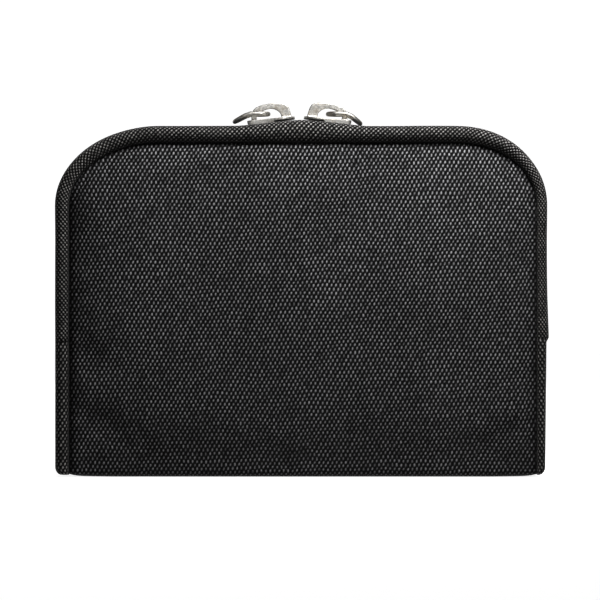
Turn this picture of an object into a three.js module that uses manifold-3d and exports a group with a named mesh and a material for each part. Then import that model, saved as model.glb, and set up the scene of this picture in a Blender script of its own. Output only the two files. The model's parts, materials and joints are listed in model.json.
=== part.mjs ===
// Zip-around passport holder wallet, standing on its spine.
// Millimetres, +Z up, front cover towards -Y. The origin is the centre of the spine's underside.
// The outer fabric runs from the front cover, under the spine, to the back cover. A fabric band goes
// round the other three sides of each cover, with a zip between the two bands. The front half turns
// on the spine's front fold, two sliders meet head to head at the middle of the top, and a gusset
// folds in at each side below the ends of the zip.
import * as THREE from 'three';
import { mergeVertices } from 'three/addons/utils/BufferGeometryUtils.js';
import Module from 'manifold-3d';

const wasm = await Module();
wasm.setup();

// ---- driving dimensions -------------------------------------------------------------------------

const WIDTH = 140;            // across, left to right
const HEIGHT = 100;           // spine underside to the top of the bands
const DEPTH = 26;             // front of the front band to back of the back band
const GAP = 0.3;              // clearance between neighbouring pieces

const CORNER_X = 27.5;        // top corner, half axis along X
const CORNER_Z = 22.6;        // top corner, half axis along Z
const HUMP_HEIGHT = 2.0;      // the bands and the zip rise by this where the sliders meet
const HUMP_REACH = 22;        // and are level again this far from the middle

const FABRIC = 0.8;           // outer woven fabric
const BAND_FACE = 4.2;        // width of the band that shows beside a cover
const BAND_HEM_Y = 5.6;       // the band's turned hem, beside the zip
const ZIP_END = 38.6;         // height of the zip's two lower ends
const SPINE_FOLD_Y = 11.5;    // where the fabric folds from the spine up into the front cover

// Distance of each layer's inner face from the middle plane, and its thickness.
const PANEL = { inner: 11.8, thick: FABRIC };
const FOAM = { inner: 9.6, thick: 1.9 };
const BOARD = { inner: 8.4, thick: 0.9 };
const LINING = { inner: 7.6, thick: 0.5 };
const FLAT_POCKET = { inner: 6.9, thick: 0.4 };

const CHAIN_DEPTH = 1.5;      // middle of the zip's coils, below the top of the bands
const COIL_THICK = 1.3;
const COIL_HALF = 2.8;        // half the width of the closed chain
const TAPE_THICK = 0.5;
const TAPE_EDGE_Y = 9.2;

const POCKET_LOW = 7.5;       // bottom seam of every pocket
const DOCUMENT_POCKET = { half: 55, high: 84 };
const NOTE_POCKET = { half: 58, high: 86 };
const PASSPORT_POCKET = { half: 64, high: 74, inner: 1.7, cloth: 0.5, back: 6.5 };
const CARD_SLOTS = 3;
const CARD_SLOT = { half: 45.5, top: 74, step: 11, inner: 6.2, pitch: 0.7, cloth: 0.4 };
const BINDING_WIDE = 3.2;     // ribbed tape over a pocket's top edge
const BINDING_PROUD = 0.2;    // and how far it stands out from the pocket

const SLIDER_X = { left: 8.4, right: 7.4 };   // middle of each slider from the middle of the top
const SLIDER_LENGTH = 13.7;
const SLIDER_TILT = THREE.MathUtils.degToRad(2.5);
const SLIDER_HEAD_HALF = 5.0;
const SLIDER_TAIL_HALF = 4.3;
const BRIDGE_HALF = 1.2;

const PULL_WIRE = 0.7;        // radius of the pull's wire
const PULL_LENGTH = 11.5;
const PULL_WIDTH = 7.4;
const PULL_AXIS_X = { left: 9.4, right: 7.7 };   // the bar of each pull, inside its bridge
const PULL_AXIS_Z = 103.7;
const PULL_BEND = { left: 28, right: 38 };    // degrees
const PULL_BEND_START = 4.8;  // along the loop from its bar
const PULL_BEND_RADIUS = 3.0;

// ---- materials ----------------------------------------------------------------------------------

const cloth = (colour, roughness = 0.9) =>
  new THREE.MeshStandardMaterial({ color: colour, roughness, metalness: 0 });

const blackWeave = cloth(0x2b2a2c);
const bandWeave = cloth(0x2f2c2b);
const greyLining = cloth(0x3d4046, 0.85);
const pocketCloth = cloth(0x34363b, 0.85);
const bindingTape = cloth(0x1d1d1f, 0.8);
const zipTape = cloth(0x1b1b1c, 0.85);
const nylonCoil = cloth(0x161617, 0.5);
const foam = cloth(0x55565a, 1.0);
const board = cloth(0x8a7a60, 0.95);
const nickel = new THREE.MeshStandardMaterial({ color: 0xa9a9a6, roughness: 0.35, metalness: 1 });

// ---- helpers ------------------------------------------------------------------------------------

const wallet = new THREE.Group();

function add(name, geometry, material, parent = wallet) {
  const mesh = new THREE.Mesh(geometry, material);
  mesh.name = name;
  parent.add(mesh);
  return mesh;
}

function solid(geometry) {
  const bare = geometry.clone();
  bare.deleteAttribute('normal');
  bare.deleteAttribute('uv');
  const merged = mergeVertices(bare, 1e-5);
  return new wasm.Manifold(new wasm.Mesh({
    numProp: 3,
    vertProperties: new Float32Array(merged.attributes.position.array),
    triVerts: new Uint32Array(merged.index.array),
  }));
}

function geometryOf(manifold) {
  const mesh = manifold.getMesh();
  const geometry = new THREE.BufferGeometry();
  geometry.setAttribute('position', new THREE.BufferAttribute(mesh.vertProperties, 3));
  geometry.setIndex(new THREE.BufferAttribute(mesh.triVerts, 1));
  return geometry;
}

function join(...geometries) {
  return geometryOf(geometries.map(solid).reduce((whole, next) => whole.add(next)));
}

function cut(geometry, ...tools) {
  return geometryOf(tools.map(solid).reduce((whole, next) => whole.subtract(next), solid(geometry)));
}

// A shape drawn in X and Z, given thickness from y0 to y1.
function slab(shape, y0, y1) {
  const geometry = new THREE.ExtrudeGeometry(shape, { depth: y1 - y0, bevelEnabled: false });
  geometry.rotateX(Math.PI / 2);
  geometry.translate(0, y1, 0);
  return geometry;
}

// The same, on the back half (side 1) or the front half (side -1).
function layer(shape, side, inner, thick) {
  return side > 0 ? slab(shape, inner, inner + thick) : slab(shape, -inner - thick, -inner);
}

function box(x0, x1, y0, y1, z0, z1) {
  const geometry = new THREE.BoxGeometry(x1 - x0, y1 - y0, z1 - z0);
  geometry.translate((x0 + x1) / 2, (y0 + y1) / 2, (z0 + z1) / 2);
  return geometry;
}

// ---- outline of the wallet ----------------------------------------------------------------------

const CORNER_STEPS = 10;

function hump(x) {
  return HUMP_HEIGHT * Math.max(0, 1 - Math.abs(x) / HUMP_REACH);
}

// Points from the left side at height low, over the top, to the right side, a distance inset
// inside the outermost outline. Raised is 1 where the line follows the hump and 0 where it doesn't.
function arch(inset, low, raised = 0) {
  const rx = CORNER_X - inset;
  const rz = CORNER_Z - inset;
  const cx = WIDTH / 2 - CORNER_X;
  const cz = HEIGHT - CORNER_Z;
  const right = [];
  for (let i = 0; i <= CORNER_STEPS; i++) {
    const angle = (Math.PI / 2) * (1 - i / CORNER_STEPS);
    right.push(new THREE.Vector2(cx + rx * Math.cos(angle), cz + rz * Math.sin(angle)));
  }
  right.push(new THREE.Vector2(WIDTH / 2 - inset, low));
  const left = right.map((p) => new THREE.Vector2(-p.x, p.y)).reverse();
  const top = [-HUMP_REACH, 0, HUMP_REACH].map(
    (x) => new THREE.Vector2(x, HEIGHT - inset + raised * hump(x)));
  return [...left, ...(raised ? top : []), ...right];
}

function strip(outer, inner, low, raisedOuter = 0, raisedInner = raisedOuter) {
  return new THREE.Shape([...arch(outer, low, raisedOuter), ...arch(inner, low, raisedInner).reverse()]);
}

function panelShape(inset, low) {
  return new THREE.Shape(arch(inset, low));
}

function rectangle(half, low, high) {
  return new THREE.Shape([
    new THREE.Vector2(-half, low), new THREE.Vector2(half, low),
    new THREE.Vector2(half, high), new THREE.Vector2(-half, high),
  ]);
}

// ---- cover layers, bands, zip halves -------------------------------------------------------------

const PANEL_INSET = BAND_FACE + GAP;
const PANEL_LOW = 1.5;
const LAYER_INSET = 3.4;
const LAYER_LOW = 2.0;
const STRIP_LOW = 1.2;
const SEAM_BINDING = { outer: 3.3, inner: 5.5, y: 6.5, thick: 0.7 };
const END_TAB = { outer: 0.7, inner: 3.2, below: 2 };   // cloth tab over each end of the zip
const HEM_WIDE = 1.6;
const HEM_THICK = 1.9;
const BAND_THICK = 1.0;
const FACE_Y = DEPTH / 2;

// A band covers the cover's edge, turns over the crown and ends in a thick hem beside the zip.
function edgeBand(side) {
  return join(
    layer(strip(0, BAND_FACE, ZIP_END, 1, 0), side, FACE_Y - BAND_THICK, BAND_THICK),
    layer(strip(0, BAND_THICK, ZIP_END, 1), side, BAND_HEM_Y, FACE_Y - BAND_HEM_Y),
    layer(strip(0, HEM_THICK, ZIP_END, 1), side, BAND_HEM_Y, HEM_WIDE),
  );
}

// The side strip continues a band's section straight down from the zip's end to the spine.
function sideStrip(side, hand) {
  const high = ZIP_END - GAP;
  const edge = WIDTH / 2;
  const part = (inset, y0, y1) => {
    const xs = [hand * edge, hand * (edge - inset)].sort((a, b) => a - b);
    const ys = [side * y0, side * y1].sort((a, b) => a - b);
    return box(xs[0], xs[1], ys[0], ys[1], STRIP_LOW, high);
  };
  return join(
    part(BAND_FACE, FACE_Y - BAND_THICK, FACE_Y),
    part(BAND_THICK, BAND_HEM_Y, FACE_Y),
    part(HEM_THICK, BAND_HEM_Y, BAND_HEM_Y + HEM_WIDE),
  );
}

const COIL_TOP = CHAIN_DEPTH - COIL_THICK / 2;
const COIL_LOW = CHAIN_DEPTH + COIL_THICK / 2;
const TAPE_TOP = COIL_LOW + GAP;
const TAPE_LOW = TAPE_TOP + TAPE_THICK;
const TAPE_END = ZIP_END + 2.4;
const DIVIDER_ROOM = { half: 1.3, reach: 9.6, deep: 10 };   // the zip parts round the sliders' dividers

// One half of the coils or of the tape, with room for the dividers between the halves.
function zipHalf(side, top, low, inner, outer) {
  const whole = layer(strip(top, low, TAPE_END, 1), side, inner, outer - inner);
  const { half, reach, deep } = DIVIDER_ROOM;
  return cut(whole, box(-reach, reach, -half, half, HEIGHT - deep, HEIGHT + HUMP_HEIGHT + GAP));
}

function endTab(side, hand) {
  const xs = [END_TAB.outer, END_TAB.inner].map((inset) => hand * (WIDTH / 2 - inset));
  const ys = [side * GAP, side * (BAND_HEM_Y - GAP)].sort((a, b) => a - b);
  xs.sort((a, b) => a - b);
  return box(xs[0], xs[1], ys[0], ys[1], ZIP_END - END_TAB.below, TAPE_END - GAP);
}

for (const [half, side] of [['back', 1], ['front', -1]]) {
  add(`${half}_panel`, layer(panelShape(PANEL_INSET, PANEL_LOW), side, PANEL.inner, PANEL.thick),
    blackWeave);
  add(`${half}_foam`, layer(panelShape(LAYER_INSET, LAYER_LOW), side, FOAM.inner, FOAM.thick), foam);
  add(`${half}_board`, layer(panelShape(LAYER_INSET, LAYER_LOW), side, BOARD.inner, BOARD.thick), board);
  add(`${half}_lining`, layer(panelShape(LAYER_INSET, LAYER_LOW), side, LINING.inner, LINING.thick),
    greyLining);
  add(`${half}_edge_band`, edgeBand(side), bandWeave);
  add(`${half}_zip_tape`, zipHalf(side, TAPE_TOP, TAPE_LOW, GAP, TAPE_EDGE_Y), zipTape);
  add(`${half}_zip_coil`, zipHalf(side, COIL_TOP, COIL_LOW, GAP / 2, COIL_HALF), nylonCoil);
  add(`${half}_seam_binding`, layer(strip(SEAM_BINDING.outer, SEAM_BINDING.inner, ZIP_END), side,
    SEAM_BINDING.y, SEAM_BINDING.thick), bindingTape);
  for (const [sideName, hand] of [['left', -1], ['right', 1]]) {
    add(`${half}_side_strip_${sideName}`, sideStrip(side, hand), bandWeave);
    add(`${half}_zip_tab_${sideName}`, endTab(side, hand), bindingTape);
  }
}

// ---- spine --------------------------------------------------------------------------------------

const SPINE = { half: WIDTH / 2 - 3, back: FACE_Y - 0.4 };
const SPINE_LINING = { half: WIDTH / 2 - 6, y: 6.5, low: FABRIC + GAP };

add('spine_panel', box(-SPINE.half, SPINE.half, -SPINE_FOLD_Y, SPINE.back, 0, FABRIC), blackWeave);
add('spine_lining', box(-SPINE_LINING.half, SPINE_LINING.half, -SPINE_LINING.y, SPINE_LINING.y,
  SPINE_LINING.low, SPINE_LINING.low + LINING.thick), greyLining);

// ---- side gussets -------------------------------------------------------------------------------

// Seen from above, each gusset lies against the side and folds in between the halves as a V.
const GUSSET = {
  cloth: 0.5, side: 2.2, depth: 19, tip: 2, edge: 6.6, back: 0.9, front: -4.3, foldY: -1.7, low: 2.2,
};

function gusset(hand) {
  const side = WIDTH / 2 - GUSSET.side;
  const fold = side - GUSSET.depth;
  const shape = new THREE.Shape([
    [side, GUSSET.edge],
    [side, GUSSET.back],
    [fold + GUSSET.tip, GUSSET.foldY],
    [side, GUSSET.front],
    [side, -GUSSET.edge],
    [side - GUSSET.cloth, -GUSSET.edge],
    [side - GUSSET.cloth, GUSSET.front - GUSSET.cloth],
    [fold, GUSSET.foldY - GUSSET.cloth],
    [fold, GUSSET.foldY + GUSSET.cloth],
    [side - GUSSET.cloth, GUSSET.back + GUSSET.cloth],
    [side - GUSSET.cloth, GUSSET.edge],
  ].map(([x, y]) => new THREE.Vector2(hand * x, y)));
  const height = ZIP_END - END_TAB.below - GAP - GUSSET.low;
  const geometry = new THREE.ExtrudeGeometry(shape, { depth: height, bevelEnabled: false });
  geometry.translate(0, 0, GUSSET.low);
  return geometry;
}

add('gusset_left', gusset(-1), greyLining);
add('gusset_right', gusset(1), greyLining);

// ---- pockets of the back half -------------------------------------------------------------------

function bindingStrip(half, z, y0, y1) {
  return box(-half, half, y0, y1, z + GAP, z + GAP + BINDING_WIDE);
}

const FLAT_POCKET_OUTER = FLAT_POCKET.inner + FLAT_POCKET.thick;

add('document_pocket', slab(rectangle(DOCUMENT_POCKET.half, POCKET_LOW, DOCUMENT_POCKET.high),
  FLAT_POCKET.inner, FLAT_POCKET_OUTER), pocketCloth);
add('document_pocket_binding', bindingStrip(DOCUMENT_POCKET.half, DOCUMENT_POCKET.high,
  FLAT_POCKET.inner - BINDING_PROUD, FLAT_POCKET_OUTER), bindingTape);

function passportPocket() {
  const { half, high, inner, cloth: thick, back } = PASSPORT_POCKET;
  const sheet = box(-half, half, inner, inner + thick, POCKET_LOW, high);
  const floor = box(-half, half, inner, back, POCKET_LOW, POCKET_LOW + thick);
  const wall = (x) => box(x, x + thick, inner, back, POCKET_LOW, high);
  return join(sheet, floor, wall(-half), wall(half - thick));
}

add('passport_pocket', passportPocket(), pocketCloth);
add('passport_pocket_binding', bindingStrip(PASSPORT_POCKET.half, PASSPORT_POCKET.high,
  PASSPORT_POCKET.inner - BINDING_PROUD, PASSPORT_POCKET.inner + PASSPORT_POCKET.cloth + BINDING_PROUD),
bindingTape);

// ---- pockets of the front half ------------------------------------------------------------------

add('note_pocket', layer(rectangle(NOTE_POCKET.half, POCKET_LOW, NOTE_POCKET.high), -1,
  FLAT_POCKET.inner, FLAT_POCKET.thick), pocketCloth);
add('note_pocket_binding', bindingStrip(NOTE_POCKET.half, NOTE_POCKET.high, -FLAT_POCKET_OUTER,
  -FLAT_POCKET.inner + BINDING_PROUD), bindingTape);

for (let i = 0; i < CARD_SLOTS; i++) {
  const inner = CARD_SLOT.inner - i * CARD_SLOT.pitch;
  const top = CARD_SLOT.top - i * CARD_SLOT.step;
  add(`card_slot_${i + 1}`, layer(rectangle(CARD_SLOT.half, POCKET_LOW, top), -1, inner,
    CARD_SLOT.cloth), pocketCloth);
  add(`card_slot_binding_${i + 1}`, bindingStrip(CARD_SLOT.half, top, -inner - CARD_SLOT.cloth,
    -inner), bindingTape);
}

// ---- zip sliders --------------------------------------------------------------------------------

// In a slider's own frame the middle of the coils is z = 0 and the head points along +X.
const UPPER = { low: 1.3, high: 2.5 };
const LOWER = { low: -3.3, high: -2.35 };
const UPPER_FLANGE_LOW = -0.1;
const FLANGE = 0.9;
const MOUTH = { deep: 1.2, half: 3.4 };       // where the closed chain leaves under the tail
const HEAD_ROOM_X = 2.2;                      // the flanges stop here, where the coils part
const DIVIDER = { radius: 0.9, stretch: 1.9, x: 4.2, inset: 0.4 };
const BRIDGE_FOOT = 0.2;                      // the bridge's feet sink into the upper plate

// The bridge in side view, as distance along the slider and height above the upper plate.
const BRIDGE_OUTLINE = [
  [-5.6, -BRIDGE_FOOT], [-5.6, 0.9], [-4.6, 2.6], [-1.5, 4.0], [2.5, 4.5], [4.8, 4.3], [5.8, 3.3],
  [5.8, -BRIDGE_FOOT], [2.9, -BRIDGE_FOOT], [2.9, 2.3], [2.2, 2.9], [-1.0, 2.8], [-3.3, 1.8],
  [-4.0, -BRIDGE_FOOT],
];

function sliderOutline(inset) {
  const tail = -SLIDER_LENGTH / 2 + inset;
  const head = SLIDER_LENGTH / 2 - inset;
  const narrow = SLIDER_TAIL_HALF - inset;
  const wide = SLIDER_HEAD_HALF - inset;
  const upper = [
    [tail, narrow - 1], [tail + 1, narrow], [-1.5, narrow], [1.5, wide], [4, wide], [5.6, wide - 0.9],
    [head, wide - 2.4],
  ];
  const lower = upper.map(([x, y]) => [x, -y]).reverse();
  return [...upper, ...lower].map(([x, y]) => new THREE.Vector2(x, y));
}

function plate(low, high, inset = 0) {
  const shape = new THREE.Shape(sliderOutline(inset).reverse());
  const geometry = new THREE.ExtrudeGeometry(shape, { depth: high - low, bevelEnabled: false });
  geometry.translate(0, 0, low);
  return geometry;
}

function bridge() {
  const outline = BRIDGE_OUTLINE.map(([x, z]) => new THREE.Vector2(x, UPPER.high + z));
  return slab(new THREE.Shape(outline.reverse()), -BRIDGE_HALF, BRIDGE_HALF);
}

function slider() {
  const under = UPPER_FLANGE_LOW - 1;
  const tail = -SLIDER_LENGTH / 2;
  const flangeCut = plate(under, UPPER.low, FLANGE);
  const mouth = box(2 * tail, tail + MOUTH.deep, -MOUTH.half, MOUTH.half, under, UPPER.low);
  const headRoom = box(HEAD_ROOM_X, SLIDER_LENGTH, -SLIDER_LENGTH, SLIDER_LENGTH, under, UPPER.low);
  const upper = cut(plate(UPPER_FLANGE_LOW, UPPER.high), flangeCut, mouth, headRoom);
  const tall = UPPER.high - LOWER.low - DIVIDER.inset;
  const divider = new THREE.CylinderGeometry(DIVIDER.radius, DIVIDER.radius, tall, 12);
  divider.rotateX(Math.PI / 2);
  divider.scale(DIVIDER.stretch, 1, 1);
  divider.translate(DIVIDER.x, 0, (UPPER.high + LOWER.low) / 2);
  return join(upper, plate(LOWER.low, LOWER.high), divider, bridge());
}

// ---- pulls --------------------------------------------------------------------------------------

// A closed loop of wire: straight sides joined by half circles, then bent down near its middle.
// In its own frame the bar at the origin lies along Y and the loop reaches out along +X.
function pull(bend) {
  const reach = PULL_LENGTH / 2 - PULL_WIRE;
  const half = PULL_WIDTH / 2 - PULL_WIRE;
  const straight = reach - half;
  const ring = new THREE.TorusGeometry(half, PULL_WIRE, 8, 32);
  const position = ring.attributes.position;
  for (let i = 0; i < position.count; i++) {
    const x = position.getX(i);
    const along = reach + x + Math.sign(Math.abs(x) < 1e-6 ? 0 : x) * straight;
    const up = position.getZ(i);
    const past = Math.max(0, along - PULL_BEND_START);
    const angle = Math.min(bend, past / PULL_BEND_RADIUS);
    const rest = past - angle * PULL_BEND_RADIUS;
    const level = Math.min(along, PULL_BEND_START) + PULL_BEND_RADIUS * Math.sin(angle)
      + rest * Math.cos(angle);
    const drop = PULL_BEND_RADIUS * (1 - Math.cos(angle)) + rest * Math.sin(angle);
    position.setXYZ(i, level + up * Math.sin(angle), position.getY(i), up * Math.cos(angle) - drop);
  }
  return join(ring);
}

for (const [sideName, hand] of [['left', -1], ['right', 1]]) {
  const x = SLIDER_X[sideName];
  const body = new THREE.Group();
  body.position.set(hand * x, 0, HEIGHT - CHAIN_DEPTH + hump(x));
  body.rotation.y = hand * SLIDER_TILT;
  wallet.add(body);
  add(`slider_${sideName}`, slider(), nickel, body).rotation.z = hand > 0 ? Math.PI : 0;
  const bend = THREE.MathUtils.degToRad(PULL_BEND[sideName]);
  const loop = add(`pull_${sideName}`, pull(bend), nickel);
  loop.position.set(hand * PULL_AXIS_X[sideName], 0, PULL_AXIS_Z);
  loop.rotation.z = hand > 0 ? 0 : Math.PI;
}

export default wallet;
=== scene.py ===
"""Looks of a zip-around passport wallet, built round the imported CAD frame.

Lengths are written in millimetres in the wallet's own frame (+Z up, front cover towards -Y)
and turned into metres where a mesh is made.
"""
import json
import math
from functools import reduce

import bmesh
import bpy
import numpy as np
from mathutils import Matrix, Vector, noise


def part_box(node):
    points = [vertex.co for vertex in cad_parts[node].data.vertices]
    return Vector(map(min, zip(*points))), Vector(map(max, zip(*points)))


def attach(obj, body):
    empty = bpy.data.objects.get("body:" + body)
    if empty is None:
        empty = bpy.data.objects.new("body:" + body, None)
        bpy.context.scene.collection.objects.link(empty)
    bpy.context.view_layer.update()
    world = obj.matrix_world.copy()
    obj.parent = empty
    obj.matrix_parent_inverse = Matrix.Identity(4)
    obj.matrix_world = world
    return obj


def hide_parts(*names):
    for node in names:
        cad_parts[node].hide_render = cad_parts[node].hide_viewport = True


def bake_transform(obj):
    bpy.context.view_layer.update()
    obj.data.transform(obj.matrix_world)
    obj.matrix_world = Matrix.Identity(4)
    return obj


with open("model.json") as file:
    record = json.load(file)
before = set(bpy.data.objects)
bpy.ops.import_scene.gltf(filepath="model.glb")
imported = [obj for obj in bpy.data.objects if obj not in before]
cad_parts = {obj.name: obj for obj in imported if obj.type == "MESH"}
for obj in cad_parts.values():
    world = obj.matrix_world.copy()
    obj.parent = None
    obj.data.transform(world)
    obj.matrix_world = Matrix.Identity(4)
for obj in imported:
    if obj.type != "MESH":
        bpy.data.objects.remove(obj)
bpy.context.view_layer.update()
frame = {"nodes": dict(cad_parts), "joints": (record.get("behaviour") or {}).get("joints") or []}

MM = 0.001
SIDES = (("back", 1), ("front", -1))
HANDS = (("left", -1), ("right", 1))


def box_mm(node):
    """Lowest and highest corner of a CAD node, in millimetres."""
    low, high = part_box(node)
    return low / MM, high / MM


# ---- sizes, from the frame ----

band_low, band_high = box_mm("front_edge_band")
HALF_WIDTH = band_high.x
CROWN_Y = -band_low.y  # how far the bands stand out from the middle plane
HEM_Y = -band_high.y  # the bands' turned hems, beside the zip
ZIP_END = band_low.z
CAD_HUMP, CAD_HUMP_REACH = 2.0, 22.0
HEIGHT = band_high.z - CAD_HUMP  # top of the bands, away from the middle
HUMP = 1.75  # rise of the bands where the sliders meet
HUMP_REACH = 18.5
CORNER_LEFT = 30.0  # the soft top corners aren't quite alike
CORNER_RIGHT = 25.5
CORNER_Z = 22.6
BAND_LEFT, BAND_TOP, BAND_RIGHT = 4.0, 4.7, 2.95
SEAM_Y = 10.3  # bottom of the groove between band and cover
LINING_Y = box_mm("back_lining")[0].y
CHAIN_DEPTH = 1.5  # middle of the coils, below the top of the bands


def joint_mm(name):
    """A point of a joint's axis, in millimetres."""
    return np.array(next(j for j in frame["joints"] if j["name"] == name)["pos_m"]) / MM


# ---- camera and stage ----

CAMERA_DISTANCE = 1200.0
FIELD_WIDTH = 170.2  # what the picture is wide, at the front of the wallet
EYE_X, EYE_Z = -0.3, 50.4
SENSOR = 36.0

camera = bpy.data.objects.new("camera", bpy.data.cameras.new("camera"))
camera.data.sensor_width = SENSOR
camera.data.lens = SENSOR * CAMERA_DISTANCE / FIELD_WIDTH
camera.data.clip_end = 20
camera.location = Vector((EYE_X, -CROWN_Y - CAMERA_DISTANCE, EYE_Z)) * MM
camera.rotation_euler = (math.pi / 2, 0, 0)
bpy.context.scene.collection.objects.link(camera)
bpy.context.scene.camera = camera
bpy.context.scene.view_settings.view_transform = "Standard"


# ---- mesh helpers ----

def mesh_from(name, points, faces, uvs=None):
    """An object from points in millimetres; uvs holds one millimetre pair for each face corner."""
    mesh = bpy.data.meshes.new(name)
    mesh.from_pydata((np.asarray(points, float) * MM).tolist(), [], faces)
    if uvs is not None:
        layer = mesh.uv_layers.new(name="cloth")
        layer.data.foreach_set("uv", (np.asarray(uvs, float) * MM).ravel())
    mesh.polygons.foreach_set("use_smooth", [True] * len(mesh.polygons))
    mesh.validate()
    mesh.update()
    made = bpy.data.objects.new(name, mesh)
    bpy.context.scene.collection.objects.link(made)
    return made


def grid(name, points, uvs, closed=False, loop=False, caps=False):
    """A mesh from rows of points. closed joins each row's ends, loop joins the last row to the first,
    and caps closes a tube's two ends. uvs has one more column where closed and one more row where loop."""
    points = np.asarray(points, float)
    uvs = np.asarray(uvs, float)
    rows, columns = points.shape[:2]
    faces, corners = [], []
    for i in range(rows if loop else rows - 1):
        for j in range(columns if closed else columns - 1):
            cells = ((i, j), (i, j + 1), (i + 1, j + 1), (i + 1, j))
            faces.append([(a % rows) * columns + b % columns for a, b in cells])
            corners.extend(uvs[a, b] for a, b in cells)
    if caps:
        faces.append(list(range(columns))[::-1])
        corners.extend(uvs[0, :columns][::-1])
        faces.append([(rows - 1) * columns + j for j in range(columns)])
        corners.extend(uvs[-1, :columns])
    return mesh_from(name, points.reshape(-1, 3), faces, corners)


def outward(obj):
    """Turns a closed mesh's faces outwards."""
    edit = bmesh.new()
    edit.from_mesh(obj.data)
    bmesh.ops.recalc_face_normals(edit, faces=edit.faces)
    edit.to_mesh(obj.data)
    edit.free()
    return obj


def settle(obj):
    """Applies every modifier, so the mesh is what shows."""
    graph = bpy.context.evaluated_depsgraph_get()
    mesh = bpy.data.meshes.new_from_object(obj.evaluated_get(graph))
    obj.modifiers.clear()
    obj.data = mesh
    mesh.polygons.foreach_set("use_smooth", [True] * len(mesh.polygons))


def thicken(obj, thickness, offset=-1.0):
    modifier = obj.modifiers.new("thickness", "SOLIDIFY")
    modifier.thickness = thickness * MM
    modifier.offset = offset
    modifier.use_even_offset = True
    settle(obj)


def mark(obj, name, values):
    """Gives each vertex a number that a material can read."""
    layer = obj.data.attributes.new(name, "FLOAT", "POINT")
    layer.data.foreach_set("value", np.asarray(values, np.float32).ravel())


def lengths(points):
    """Distance along a row of points, from its start."""
    points = np.asarray(points, float)
    steps = np.linalg.norm(np.diff(points, axis=0), axis=1)
    return np.concatenate([[0], np.cumsum(steps)])


def sweep(name, centres, across, up, profile, loop=False):
    """A closed profile of (across, up) pairs carried along centres. The cloth's grain follows the sweep."""
    centres, across, up = (np.asarray(a, float) for a in (centres, across, up))
    profile = np.asarray(profile, float)
    if profile.ndim == 2:
        profile = np.repeat(profile[None], len(centres), axis=0)
    points = centres[:, None] + across[:, None] * profile[:, :, :1] + up[:, None] * profile[:, :, 1:]
    along = lengths(centres)
    ring = lengths(np.vstack([profile[len(profile) // 2], profile[len(profile) // 2][:1]]))
    if loop:
        along = np.append(along, along[-1] + np.linalg.norm(centres[0] - centres[-1]))
    uvs = np.stack(np.meshgrid(along, ring, indexing="ij"), axis=-1)
    return outward(grid(name, points, uvs, closed=True, loop=loop, caps=not loop))


def circle(radius, count=12):
    turns = np.arange(count) * 2 * math.pi / count
    return np.stack([np.cos(turns), np.sin(turns)], axis=1) * radius


def tube(name, centres, radius, loop=False, count=10):
    """A round wire along any curve, with its section kept from twisting."""
    centres = np.asarray(centres, float)
    ahead = np.roll(centres, -1, axis=0) - np.roll(centres, 1, axis=0)
    if not loop:
        ahead[0] = centres[1] - centres[0]
        ahead[-1] = centres[-1] - centres[-2]
    ahead /= np.linalg.norm(ahead, axis=1)[:, None]
    side = np.cross(ahead[0], (0, 0, 1) if abs(ahead[0][2]) < 0.9 else (0, 1, 0))
    sides = []
    for direction in ahead:
        side = side - direction * np.dot(side, direction)
        side /= np.linalg.norm(side)
        sides.append(side.copy())
    sides = np.array(sides)
    return sweep(name, centres, sides, np.cross(ahead, sides), circle(radius, count), loop=loop)


def between(at, along, rows):
    """Rows of points or directions, read at one distance along them or at several."""
    return np.stack([np.interp(at, along, rows[:, c]) for c in range(3)], axis=-1)


def stitch_row(name, centres, out, length=2.0, gap=0.9, radius=0.16):
    """Sewing thread along a row of points: separate raised stitches that dip into the cloth at each end."""
    centres, out = np.asarray(centres, float), np.asarray(out, float)
    along = lengths(centres)
    rings, sides = 7, 6
    points, faces = [], []
    for start in np.arange(gap / 2, along[-1] - length, length + gap):
        base = len(points)
        for share in np.arange(rings) / (rings - 1):
            at = start + length * share
            centre = between(at, along, centres)
            ahead = between(at + 0.1, along, centres) - centre
            ahead /= max(np.linalg.norm(ahead), 1e-9)
            normal = between(at, along, out)
            normal /= np.linalg.norm(normal)
            side = np.cross(ahead, normal)
            rise = radius * (1.7 * math.sin(math.pi * share) - 0.9)
            width = radius * (0.45 + 0.55 * math.sin(math.pi * share) ** 0.5)
            for turn in np.arange(sides) * 2 * math.pi / sides:
                points.append(centre + normal * (rise + width * math.sin(turn))
                              + side * width * math.cos(turn))
        for ring in range(base, base + (rings - 1) * sides, sides):
            faces += [[ring + a, ring + (a + 1) % sides, ring + sides + (a + 1) % sides, ring + sides + a]
                      for a in range(sides)]
        faces.append([base + a for a in range(sides)][::-1])
        faces.append([base + (rings - 1) * sides + a for a in range(sides)])
    return outward(mesh_from(name, points, faces))


def ease(value):
    value = np.clip(value, 0, 1)
    return value * value * (3 - 2 * value)


def rough(x, y, z, size, seed=0.0):
    """Smooth noise from -1 to 1 that changes over about size millimetres."""
    return noise.noise(Vector((x / size + seed, y / size - seed, z / size + 2 * seed)))


# ---- materials ----

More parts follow.
